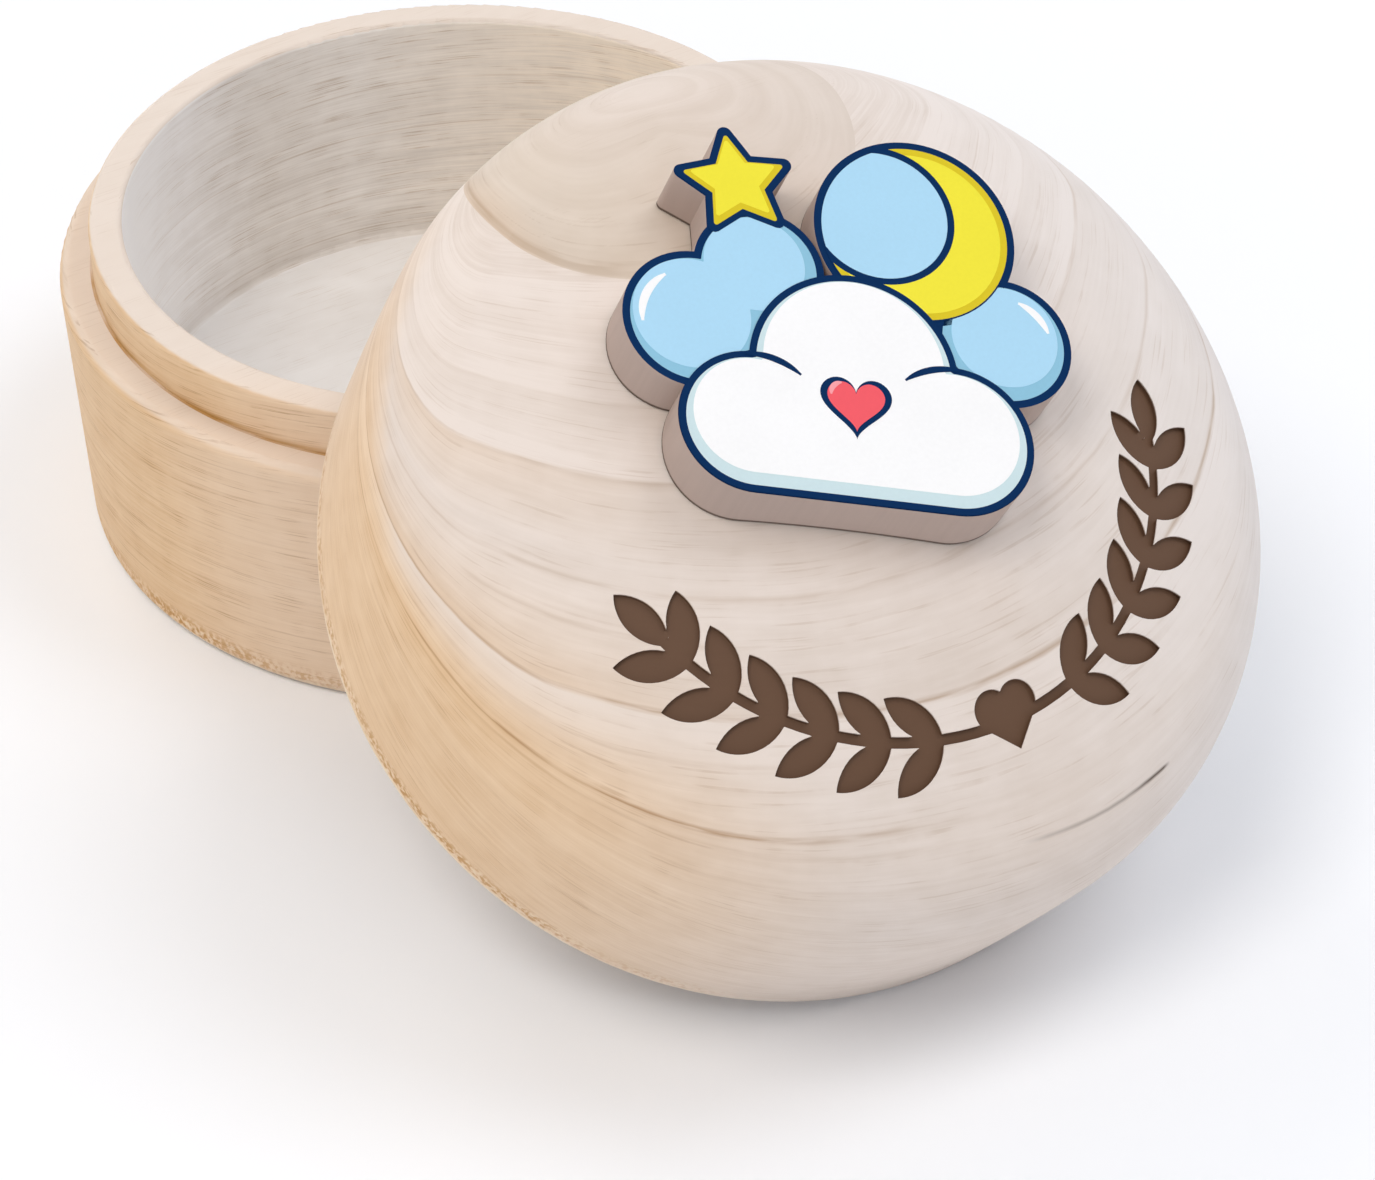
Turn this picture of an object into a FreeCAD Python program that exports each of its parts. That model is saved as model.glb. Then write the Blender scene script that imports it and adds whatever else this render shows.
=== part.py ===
import FreeCAD, Part
import os
import Sketcher

# A round wooden box for baby teeth: a turned cup, a domed lid that leans on it, and a plaque on the lid.
# Millimetres, +Z up. The origin is the centre of the cup's foot, and the lid leans out towards -Y.

os.makedirs("parts", exist_ok=True)
doc = FreeCAD.newDocument("tooth_box")

# Driving sizes
sizes = doc.addObject("Spreadsheet::Sheet", "sizes")
driving_sizes = (
    ("cup_radius", 29.3, "outside of the cup at its ledge"),
    ("side_taper", 0.6, "how much the cup's radius shrinks from ledge to foot"),
    ("foot_round", 1.0, "rounding of the foot's edge"),
    ("ledge_height", 20.7, "height of the ledge that the lid's rim sits on"),
    ("ledge_round", 0.8, "rounding of the ledge's outer edge"),
    ("ledge_width", 2.5, "ledge from its outer edge to the tongue"),
    ("tongue_height", 3.8, "height of the tongue above the ledge"),
    ("tongue_round", 0.4, "rounding of the tongue's two top edges"),
    ("tongue_wall", 2.5, "thickness of the tongue"),
    ("bowl_corner", 0.5, "rounding between the bowl's wall and floor"),
    ("floor_thickness", 4.5, "wood under the bowl"),
    ("lid_overhang", 0.7, "how far the lid's rim reaches past the ledge"),
    ("lid_height", 26.4, "lid from its rim to the top of its dome"),
    ("side_bulge", 0.54, "how far the lid's side swells out above the rim"),
    ("crown_radius", 72.0, "radius of the lid's domed top"),
    ("shoulder_radius", 7.5, "rounding between the lid's side and top"),
    ("rim_round", 0.5, "rounding of the lid's lower edge"),
    ("fit_clearance", 0.25, "play between the tongue and its groove, each side"),
    ("groove_clearance", 0.4, "room above the tongue in the closed box"),
    ("lean_angle", 33.3, "slope of the lid as it leans on the cup, degrees"),
    ("lean_gap", 0.15, "gap between the leaning lid and the tongue"),
    ("garland_radius", 19.6, "stem of the burnt-in garland, from the lid's axis"),
    ("garland_span", 148.0, "angle that the stem covers, degrees"),
    ("garland_start", 14.0, "angle from the heart to the first pair of leaves, degrees"),
    ("leaf_pairs", 6, "pairs of leaves on each branch"),
    ("leaf_length", 4.6, "leaf from stem to tip"),
    ("leaf_width", 2.0, "leaf at its middle"),
    ("leaf_lean", 40.0, "angle between a leaf and the stem, degrees"),
    ("stem_width", 0.7, "width of the stem"),
    ("heart_side", 2.6, "side of the heart's square"),
    ("burn_depth", 0.35, "depth of the burnt-in garland"),
    ("plaque_width", 29.0, "plaque across its side puffs"),
    ("plaque_thickness", 2.8, "plaque at its middle"),
    ("plaque_offset", 5.7, "plaque's middle from the lid's axis, up the slope"),
    ("star_turn", 12.0, "turn of the plaque's star, degrees"),
    ("plaque_turn", -29.0, "turn of the plaque about its own axis, degrees"),
    ("star_round", 0.5, "rounding of the star's tips"),
    ("glue_line", 0.1, "glue between the plaque and the dome"),
    ("overrun", 1.0, "how far a cut runs past the faces it opens"),
)
for row, (alias, value, note) in enumerate(driving_sizes, start=1):
    sizes.set(f"A{row}", alias)
    sizes.set(f"B{row}", str(value))
    sizes.set(f"C{row}", note)
    sizes.setAlias(f"B{row}", alias)
doc.recompute()

# Sizes that follow from them
foot_radius = "(sizes.cup_radius - sizes.side_taper)"
tongue_radius = "(sizes.cup_radius - sizes.ledge_width)"
bowl_radius = f"({tongue_radius} - sizes.tongue_wall)"
tongue_top = "(sizes.ledge_height + sizes.tongue_height)"
rim_radius = "(sizes.cup_radius + sizes.lid_overhang)"
lid_width_radius = f"({rim_radius} + sizes.side_bulge)"
crown_centre = "(sizes.lid_height - sizes.crown_radius)"
corner_height = f"({crown_centre} + sqrt(sizes.crown_radius ^ 2 - {lid_width_radius} ^ 2))"
side_radius = f"(({corner_height} ^ 2 + sizes.side_bulge ^ 2) / (2 * sizes.side_bulge))"

# The leaning lid stands on its rim, and its underside meets the tongue's outer edge
lean_sine = "sin(sizes.lean_angle)"
lean_cosine = "cos(sizes.lean_angle)"
side_lean = f"asin({corner_height} / {side_radius})"
rim_inset = f"(sizes.rim_round * (1 - sin({side_lean})) / cos({side_lean}))"
rim_height = f"(({rim_radius} - {rim_inset}) * {lean_sine} + sizes.rim_round * (1 - {lean_cosine}))"
edge_height = f"({tongue_top} - sizes.tongue_round)"
edge_reach = f"(({edge_height} - {rim_height}) * {lean_cosine} + sizes.tongue_round + sizes.lean_gap)"
lean_distance = f"({tongue_radius} - sizes.tongue_round + {edge_reach} / {lean_sine})"


def number(size):
    return float(sizes.evalExpression(size))


# Two places closer than this share of an overrun are the same place
near_share = 0.001
near = number("sizes.overrun") * near_share


def origin_part(body, role):
    return next(item for item in body.Origin.OriginFeatures if item.Role == role)


def new_body(name):
    return doc.addObject("PartDesign::Body", name)


def attach(body, feature, role, across="0", along="0", up="0", turn="0"):
    feature.AttachmentSupport = [(origin_part(body, role), "")]
    feature.MapMode = "FlatFace"
    for place, size in (("Base.x", across), ("Base.y", along), ("Base.z", up), ("Rotation.Angle", turn)):
        if size != "0":
            feature.setExpression(f"AttachmentOffset.{place}", size)


def new_sketch(body, name, role, **offset):
    sketch = body.newObject("Sketcher::SketchObject", name)
    attach(body, sketch, role, **offset)
    return sketch


def hold(sketch, size, kind, *where):
    index = sketch.addConstraint(Sketcher.Constraint(kind, *where, number(size)))
    sketch.setExpression(f"Constraints[{index}]", size)


def hold_point(sketch, curve, end, point):
    across, up = point
    if across == "0":
        sketch.addConstraint(Sketcher.Constraint("PointOnObject", curve, end, -2))
    else:
        hold(sketch, across, "DistanceX", -1, 1, curve, end)
    if up == "0":
        sketch.addConstraint(Sketcher.Constraint("PointOnObject", curve, end, -1))
    else:
        hold(sketch, up, "DistanceY", -1, 1, curve, end)


def vector(point):
    return FreeCAD.Vector(number(point[0]), number(point[1]), 0)


def draw_polygon(sketch, points):
    count = len(points)
    for index, point in enumerate(points):
        following = points[(index + 1) % count]
        sketch.addGeometry(Part.LineSegment(vector(point), vector(following)))
    for index, point in enumerate(points):
        sketch.addConstraint(Sketcher.Constraint("Coincident", index, 2, (index + 1) % count, 1))
        hold_point(sketch, index, 1, point)


def arc_between(start, end, centre):
    # the shorter arc from start to end, turning anticlockwise
    middle = (start + end) / 2 - centre
    middle.normalize()
    radius = (start - centre).Length
    return Part.Arc(start, centre + middle * radius, end)


def add_feature(body, kind, name, **bindings):
    feature = body.newObject(f"PartDesign::{kind}", name)
    for attribute, size in bindings.items():
        feature.setExpression(attribute, size)
    return feature


def turn_profile(body, kind, name, sketch):
    before = body.Shape.Volume if kind == "Groove" else None
    feature = add_feature(body, kind, name)
    feature.Profile = sketch
    feature.ReferenceAxis = (sketch, ["V_Axis"])
    feature.Angle = 360
    doc.recompute()
    if before is not None and body.Shape.Volume >= before:
        raise RuntimeError(f"{name} cuts nothing")
    return feature


def round_circle(body, name, radius, height, round_size):
    # round the body's circular edge of that radius at that height
    tip = body.Tip
    found = []
    for index, edge in enumerate(tip.Shape.Edges, start=1):
        if edge.Degenerated:
            continue
        curve = edge.Curve
        if isinstance(curve, Part.Circle):
            off_radius = abs(curve.Radius - number(radius))
            off_height = abs(curve.Center.z - number(height))
            if off_radius < near and off_height < near:
                found.append(f"Edge{index}")
    feature = add_feature(body, "Fillet", name, Radius=round_size)
    feature.Base = (tip, found)
    doc.recompute()
    return feature


# Cup, turned from one block
cup = new_body("cup")
cup_profile = new_sketch(cup, "cup_profile", "XZ_Plane")
draw_polygon(cup_profile, (
    ("0", "0"),
    (foot_radius, "0"),
    ("sizes.cup_radius", "sizes.ledge_height"),
    (tongue_radius, "sizes.ledge_height"),
    (tongue_radius, tongue_top),
    (bowl_radius, tongue_top),
    (bowl_radius, "sizes.floor_thickness"),
    ("0", "sizes.floor_thickness"),
))
turn_profile(cup, "Revolution", "cup_turning", cup_profile)
round_circle(cup, "foot_edge", foot_radius, "0", "sizes.foot_round")
round_circle(cup, "ledge_edge", "sizes.cup_radius", "sizes.ledge_height", "sizes.ledge_round")
round_circle(cup, "tongue_outer_edge", tongue_radius, tongue_top, "sizes.tongue_round")
round_circle(cup, "tongue_inner_edge", bowl_radius, tongue_top, "sizes.tongue_round")
round_circle(cup, "bowl_corner_round", bowl_radius, "sizes.floor_thickness", "sizes.bowl_corner")

# Lid, in its own frame: its axis is Z, and its rim lies in the XY plane
lid_blank = new_body("lid_blank")
lid_profile = new_sketch(lid_blank, "lid_profile", "XZ_Plane")
rim_point = (rim_radius, "0")
corner_point = (lid_width_radius, corner_height)
apex_point = ("0", "sizes.lid_height")
side_centre = (f"{lid_width_radius} - {side_radius}", corner_height)
lid_profile.addGeometry(Part.LineSegment(vector(("0", "0")), vector(rim_point)))
lid_profile.addGeometry(arc_between(vector(rim_point), vector(corner_point), vector(side_centre)))
lid_profile.addGeometry(arc_between(vector(corner_point), vector(apex_point), vector(("0", crown_centre))))
lid_profile.addGeometry(Part.LineSegment(vector(apex_point), vector(("0", "0"))))
for curve in range(4):
    lid_profile.addConstraint(Sketcher.Constraint("Coincident", curve, 2, (curve + 1) % 4, 1))
hold_point(lid_profile, 0, 1, ("0", "0"))
hold_point(lid_profile, 1, 1, rim_point)
hold_point(lid_profile, 2, 1, corner_point)
hold_point(lid_profile, 3, 1, apex_point)
hold(lid_profile, side_radius, "Radius", 1)
lid_profile.addConstraint(Sketcher.Constraint("PointOnObject", 2, 3, -2))
turn_profile(lid_blank, "Revolution", "lid_turning", lid_profile)
round_circle(lid_blank, "shoulder", lid_width_radius, corner_height, "sizes.shoulder_radius")
round_circle(lid_blank, "rim_edge", rim_radius, "0", "sizes.rim_round")

# Groove in the lid's underside that takes the cup's tongue
groove_profile = new_sketch(lid_blank, "groove_profile", "XZ_Plane")
groove_inside = f"{bowl_radius} - sizes.fit_clearance"
groove_outside = f"{tongue_radius} + sizes.fit_clearance"
groove_depth = "sizes.tongue_height + sizes.groove_clearance"
draw_polygon(groove_profile, (
    (groove_inside, "-sizes.overrun"),
    (groove_outside, "-sizes.overrun"),
    (groove_outside, groove_depth),
    (groove_inside, groove_depth),
))
turn_profile(lid_blank, "Groove", "tongue_groove", groove_profile)

# Garland burnt into the dome below the plaque: two leafy branches that meet at a heart
garland = new_body("garland")
garland_base = "sizes.lid_height / 2"
garland_rise = "sizes.lid_height / 2 + sizes.overrun"
leaf_angle = "sizes.leaf_lean"
leaf_step = "(sizes.garland_span / 2 - sizes.garland_start) / sizes.leaf_pairs"
leaf_bend = "(sizes.leaf_length ^ 2 + sizes.leaf_width ^ 2) / (4 * sizes.leaf_width)"

stem_profile = new_sketch(garland, "stem_profile", "YZ_Plane")
stem_inside = "-(sizes.garland_radius - sizes.stem_width / 2)"
stem_outside = "-(sizes.garland_radius + sizes.stem_width / 2)"
garland_top = "sizes.lid_height + sizes.overrun"
draw_polygon(stem_profile, (
    (stem_outside, garland_base),
    (stem_inside, garland_base),
    (stem_inside, garland_top),
    (stem_outside, garland_top),
))
stem = turn_profile(garland, "Revolution", "stem", stem_profile)
stem.Midplane = True
stem.setExpression("Angle", "sizes.garland_span")


def draw_leaf(name, from_heart, lean):
    # a leaf that grows from the stem towards its tip, drawn along the sketch's X axis
    place_angle = f"(-90 + {from_heart})"
    sketch = new_sketch(
        garland, f"{name}_outline", "XY_Plane",
        across=f"sizes.garland_radius * cos({place_angle})",
        along=f"sizes.garland_radius * sin({place_angle})",
        up=garland_base,
        turn=f"{from_heart} + {lean}",
    )
    base = vector(("0", "0"))
    tip = vector(("sizes.leaf_length", "0"))
    for side in (-1, 1):
        belly = vector(("sizes.leaf_length / 2", f"{side} * sizes.leaf_width / 2"))
        sketch.addGeometry(Part.Arc(base, belly, tip))
    hold_point(sketch, 0, 1, ("0", "0"))
    hold_point(sketch, 0, 2, ("sizes.leaf_length", "0"))
    sketch.addConstraint(Sketcher.Constraint("Coincident", 0, 1, 1, 2))
    sketch.addConstraint(Sketcher.Constraint("Coincident", 0, 2, 1, 1))
    hold(sketch, leaf_bend, "Radius", 0)
    hold(sketch, leaf_bend, "Radius", 1)
    pad = add_feature(garland, "Pad", name, Length=garland_rise)
    pad.Profile = sketch
    doc.recompute()
    return pad


outer_leaf = draw_leaf("outer_leaf", "sizes.garland_start", f"-{leaf_angle}")
inner_leaf = draw_leaf("inner_leaf", "sizes.garland_start", leaf_angle)
tip_leaf = draw_leaf("tip_leaf", f"(sizes.garland_span / 2 - {leaf_step} / 2)", "0")

leaf_rows = garland.newObject("PartDesign::MultiTransform", "leaf_rows")
leaf_rows.Originals = [outer_leaf, inner_leaf]
leaf_row = garland.newObject("PartDesign::PolarPattern", "leaf_row")
leaf_row.Axis = (origin_part(garland, "Z_Axis"), [""])
leaf_row.setExpression("Occurrences", "sizes.leaf_pairs")
leaf_row.setExpression("Angle", f"{leaf_step} * (sizes.leaf_pairs - 1)")
other_branch = garland.newObject("PartDesign::Mirrored", "other_branch")
other_branch.MirrorPlane = (origin_part(garland, "YZ_Plane"), [""])
leaf_rows.Transformations = [leaf_row, other_branch]
garland.Tip = leaf_rows
doc.recompute()
other_tip = garland.newObject("PartDesign::Mirrored", "other_tip")
other_tip.Originals = [tip_leaf]
other_tip.MirrorPlane = (origin_part(garland, "YZ_Plane"), [""])
garland.Tip = other_tip

# Heart: a square on its corner, with a round lobe on each upper side
heart_tip = "-(sizes.garland_radius + sizes.heart_side / sqrt(2))"
lobe_across = "sizes.heart_side / sqrt(8)"
heart_square = add_feature(garland, "AdditiveBox", "heart_square", Length="sizes.heart_side",
                           Width="sizes.heart_side", Height=garland_rise)
attach(garland, heart_square, "XY_Plane", along=heart_tip, up=garland_base, turn="45")
for name, side in (("heart_left", "-"), ("heart_right", "")):
    lobe = add_feature(garland, "AdditiveCylinder", name, Radius="sizes.heart_side / 2", Height=garland_rise)
    attach(garland, lobe, "XY_Plane", across=f"{side}{lobe_across}", along=f"{heart_tip} + 3 * {lobe_across}",
           up=garland_base)
doc.recompute()

# The garland is burnt to an even depth under the dome
crown_core = doc.addObject("Part::Sphere", "crown_core")
crown_core.setExpression("Radius", "sizes.crown_radius - sizes.burn_depth")
crown_core.setExpression("Placement.Base.z", crown_centre)
burnt_garland = doc.addObject("Part::Cut", "burnt_garland")
burnt_garland.Base = garland
burnt_garland.Tool = crown_core

lid = doc.addObject("Part::Cut", "lid")
lid.Base = lid_blank
lid.Tool = burnt_garland
lid.Placement.Rotation = FreeCAD.Rotation(FreeCAD.Vector(1, 0, 0), number("sizes.lean_angle"))
lid.setExpression("Placement.Rotation.Angle", "sizes.lean_angle")
lid.setExpression("Placement.Base.y", f"-{lean_distance}")
lid.setExpression("Placement.Base.z", rim_height)
doc.recompute()

# Plaque, in its own frame: Z is its axis, and the origin is where its middle meets the dome
# Its outline is a cloud with puffs, a moon and a star behind it, as shares of the plaque's width
puff_shares = {
    "cloud_left": (-0.214, -0.248, 0.166),
    "cloud_middle": (0.007, -0.103, 0.234),
    "cloud_right": (0.228, -0.238, 0.176),
    "puff_left": (-0.338, -0.021, 0.162),
    "puff_upper": (-0.200, 0.117, 0.145),
    "puff_right": (0.345, 0.012, 0.155),
    "moon": (0.152, 0.255, 0.228),
}
star_shares = (-0.248, 0.321, 0.162)
star_waist_share = 0.5
plaque_reach_share = 0.6


def of_width(share):
    return f"(sizes.plaque_width * {share})"


plaque = new_body("plaque")
plaque_reach = of_width(plaque_reach_share)
plaque_drop = f"(sizes.crown_radius - sqrt(sizes.crown_radius ^ 2 - {plaque_reach} ^ 2) + sizes.overrun)"
plaque_rise = f"({plaque_drop} + sizes.plaque_thickness)"
for name, (across_share, along_share, radius_share) in puff_shares.items():
    puff = add_feature(plaque, "AdditiveCylinder", name, Radius=of_width(radius_share), Height=plaque_rise)
    attach(plaque, puff, "XY_Plane", across=of_width(across_share), along=of_width(along_share),
           up=f"-{plaque_drop}")

# The cloud's flat base, between its two lower puffs
left_across_share, left_along_share, left_radius_share = puff_shares["cloud_left"]
right_across_share = puff_shares["cloud_right"][0]
base_along_share = left_along_share - left_radius_share
base_length_share = right_across_share - left_across_share
cloud_base = add_feature(plaque, "AdditiveBox", "cloud_base", Length=of_width(base_length_share),
                         Width=of_width(left_radius_share), Height=plaque_rise)
attach(plaque, cloud_base, "XY_Plane", across=of_width(left_across_share), along=of_width(base_along_share),
       up=f"-{plaque_drop}")

star_across, star_along, star_radius = (of_width(share) for share in star_shares)
star_outline = new_sketch(plaque, "star_outline", "XY_Plane", across=star_across, along=star_along,
                          up=f"-{plaque_drop}")
star_points = []
for corner in range(10):
    reach = star_radius if corner % 2 == 0 else f"{star_radius} * {star_waist_share}"
    angle = f"(90 + sizes.star_turn + {36 * corner})"
    star_points.append((f"{reach} * cos({angle})", f"{reach} * sin({angle})"))
draw_polygon(star_outline, star_points)
star = add_feature(plaque, "Pad", "star", Length=plaque_rise)
star.Profile = star_outline
doc.recompute()

star_centre = FreeCAD.Vector(number(star_across), number(star_along), 0)
tip_edges = []
for index, edge in enumerate(star.Shape.Edges, start=1):
    foot, head = (vertex.Point for vertex in (edge.Vertexes[0], edge.Vertexes[-1]))
    upright = (foot - head).cross(FreeCAD.Vector(0, 0, 1)).Length < near
    off_tip = abs(FreeCAD.Vector(foot.x, foot.y, 0).distanceToPoint(star_centre) - number(star_radius))
    if upright and off_tip < near:
        tip_edges.append(f"Edge{index}")
star_tips = add_feature(plaque, "Fillet", "star_tips", Radius="sizes.star_round")
star_tips.Base = (star, tip_edges)
doc.recompute()

# The back is hollowed to the dome, less the glue
hollow_radius = "sizes.crown_radius + sizes.glue_line"
dome_hollow = add_feature(plaque, "SubtractiveSphere", "dome_hollow", Radius=hollow_radius)
attach(plaque, dome_hollow, "XY_Plane", up="-sizes.crown_radius")
doc.recompute()

seat_lean = number("asin(sizes.plaque_offset / sizes.crown_radius)")
to_crown = FreeCAD.Placement(FreeCAD.Vector(0, 0, number(crown_centre)),
                             FreeCAD.Rotation(FreeCAD.Vector(1, 0, 0), -seat_lean))
to_seat = FreeCAD.Placement(FreeCAD.Vector(0, 0, number("sizes.crown_radius")),
                            FreeCAD.Rotation(FreeCAD.Vector(0, 0, 1), number("sizes.plaque_turn")))
plaque.Placement = lid.Placement * to_crown * to_seat
doc.recompute()

# Checks, then one file for each piece
for item in doc.Objects:
    if "Invalid" in item.State or "Error" in item.State:
        raise RuntimeError(f"{item.Label} failed to build")
for piece in (cup, lid, plaque):
    shape = piece.Shape
    if shape.isNull() or not shape.isValid() or len(shape.Solids) != 1:
        raise RuntimeError(f"{piece.Label} is not one valid solid")
for piece in (cup, lid, plaque):
    shape = piece.Shape
    shape.exportStep(f"parts/{piece.Label}.step")
    box = shape.optimalBoundingBox()
    reach = " x ".join(f"{length:.1f}" for length in (box.XLength, box.YLength, box.ZLength))
    print(f"{piece.Label}: {shape.Volume:.0f} mm3, {reach} mm")
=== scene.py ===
import math
from functools import partial
from types import SimpleNamespace

import bmesh
import bpy
from mathutils import Matrix, Vector


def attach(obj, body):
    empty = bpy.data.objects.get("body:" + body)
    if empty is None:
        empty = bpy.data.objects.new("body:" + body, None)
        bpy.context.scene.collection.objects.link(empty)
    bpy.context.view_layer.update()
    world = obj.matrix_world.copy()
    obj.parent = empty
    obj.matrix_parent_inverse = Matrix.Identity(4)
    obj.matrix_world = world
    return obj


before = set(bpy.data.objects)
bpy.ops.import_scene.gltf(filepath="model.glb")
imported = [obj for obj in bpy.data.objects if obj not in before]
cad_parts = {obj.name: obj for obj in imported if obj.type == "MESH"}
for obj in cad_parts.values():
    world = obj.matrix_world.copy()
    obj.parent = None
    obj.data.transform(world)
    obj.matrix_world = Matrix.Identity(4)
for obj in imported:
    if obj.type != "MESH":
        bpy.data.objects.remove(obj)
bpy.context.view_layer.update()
mm = 0.001
print("frame loaded:", ", ".join(sorted(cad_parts)))


def linearColor(code):  # "#rrggbb" as written in sRGB, out as linear light with alpha 1
    shares = [int(code[start:start + 2], 16) / 255 for start in (1, 3, 5)]
    light = [c / 12.92 if c <= 0.04045 else ((c + 0.055) / 1.055) ** 2.4 for c in shares]
    return (*light, 1.0)


def addNode(tree, kind, *values, inputs=None, stops=(), output=0, **settings):
    # values fill the sockets in their order, inputs fills them by name or number, stops are a ramp's
    node = tree.nodes.new("ShaderNode" + kind)
    for name, value in settings.items():
        setattr(node, name, value)
    for key, value in [*enumerate(values), *(inputs or {}).items()]:
        if isinstance(value, bpy.types.NodeSocket):
            tree.links.new(value, node.inputs[key])
        else:
            node.inputs[key].default_value = value
    if stops:
        ramp = node.color_ramp.elements
        while len(ramp) < len(stops):
            ramp.new(1.0)
        for stop, (place, color) in zip(ramp, stops):
            stop.position = place
            stop.color = color
    return node.outputs[output]


def newMaterial(name, settings):
    material = bpy.data.materials.new(name)
    material.use_nodes = True
    shader = material.node_tree.nodes["Principled BSDF"]
    for key, value in settings.items():
        shader.inputs[key].default_value = value
    return material, material.node_tree, shader


colorMix = {"data_type": "RGBA", "output": 2}  # a Mix node for colours, with its sockets 6 and 7

# the lid leans on the cup, so its own frame is read from the solid as it stands
lidShape = {"leanDegrees": 33.3, "crownRadiusMm": 72.0}


def standingLid():
    turn = Matrix.Rotation(math.radians(lidShape["leanDegrees"]), 4, "X")
    points = [turn.inverted() @ v.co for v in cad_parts["lid"].data.vertices]
    rim = min(p.z for p in points)
    middle = (min(p.y for p in points) + max(p.y for p in points)) / 2
    height = max(p.z for p in points) - rim
    return turn @ Matrix.Translation((0, middle, rim)), height


lidFrame, lidHeight = standingLid()
crownCentreMm = lidHeight / mm - lidShape["crownRadiusMm"]
print("lid frame found, height %.1f mm" % (lidHeight / mm))


# pale hardwood, turned, sanded and left bare: soft growth bands, thin dashes where fibres are cut, no gloss.
# The layers fan out from a line, so a cut across them shows lines and a cut along them shows broad patches.
# Rings are (layer, darkness), lines are (layer, half width, depth), and places are in mm.
woodFinish = {
    "shader": {"Roughness": 0.6, "Specular IOR Level": 0.3},
    "cutFacing": (0.985, 0.95), "calmLeast": 0.4,  # a face along the layers shows their pattern less
    "noiseMostly": (0.3, 0.7),
    "dashSoft": 0.06, "lyingShare": 1.3, "dashPatches": (0.4, 0.6), "dashLeast": 0.2,
    "lineBreaks": (0.38, 0.56), "lineLeast": 0.3,
    "bumpStrength": 0.2, "bumpMm": 0.04,
}
cupWood = {
    "pale": "#e6d9cd", "late": "#d6c5b5", "warmPale": "#e8c9a3", "warmLate": "#d3ab7d", "dash": "#c4ac90",
    "fanMm": 420.0, "fanHeightMm": -30.0, "waveMm": 26.0, "waveDepth": 0.5,
    "lowLayer": 30.0, "highLayer": 58.0,
    "rings": [(30.0, 0.45), (33.0, 0.3), (36.0, 0.45), (36.3, 0.25), (41.0, 0.4), (41.2, 0.2), (45.0, 0.45),
              (45.4, 0.3), (49.0, 0.35), (54.0, 0.25), (58.0, 0.2)],
    "lines": [(32.1, 0.06, 0.4), (36.2, 0.07, 0.5), (38.1, 0.05, 0.35), (41.6, 0.05, 0.35),
              (43.4, 0.06, 0.45), (47.5, 0.05, 0.35), (51.9, 0.06, 0.5)],
    "fadingLines": [(33.6, 0.05, 0.5), (40.0, 0.06, 0.6), (45.2, 0.05, 0.5)], "fadeMm": (-24.0, -10.0),
    "bandMm": 0.5, "bandLengthMm": 16.0, "bandDepth": 0.11,
    "fibreMm": 0.15, "fibreLengthMm": 5.0, "fibreDepth": 0.16,
    "mottleMm": 2.4, "mottleDepth": 0.11,
    "dashMm": 0.09, "dashLengthMm": 5.0, "dashFrom": 0.61, "dashDepth": 0.4, "warmDashDepth": 0.55,
    # outwards from the axis the cup's side is warm, and on the ledge this warmth is painted warm light,
    # bounced from the tongue's wall
    "warmFacing": (0.4, 0.95), "warmSideAndBounceMm": (26.6, 33.0), "warmLayers": [(30.0, 0.0), (58.0, 0.0)],
    # painted light: towards the lid the cup's side is painted paler and less warm, for light bounced from
    # the lid
    "paintedLightToward": (-0.54, -0.84), "paintedLightMm": (20.0, 29.0), "warmLeast": 0.45,
    "paintedLightTone": "#fadaba", "paintedLightToneMm": (20.0, 29.0), "paintedLightToneDepth": 0.3,
    "frayMm": (0.6, 1.3, 2.3),
}
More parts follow.
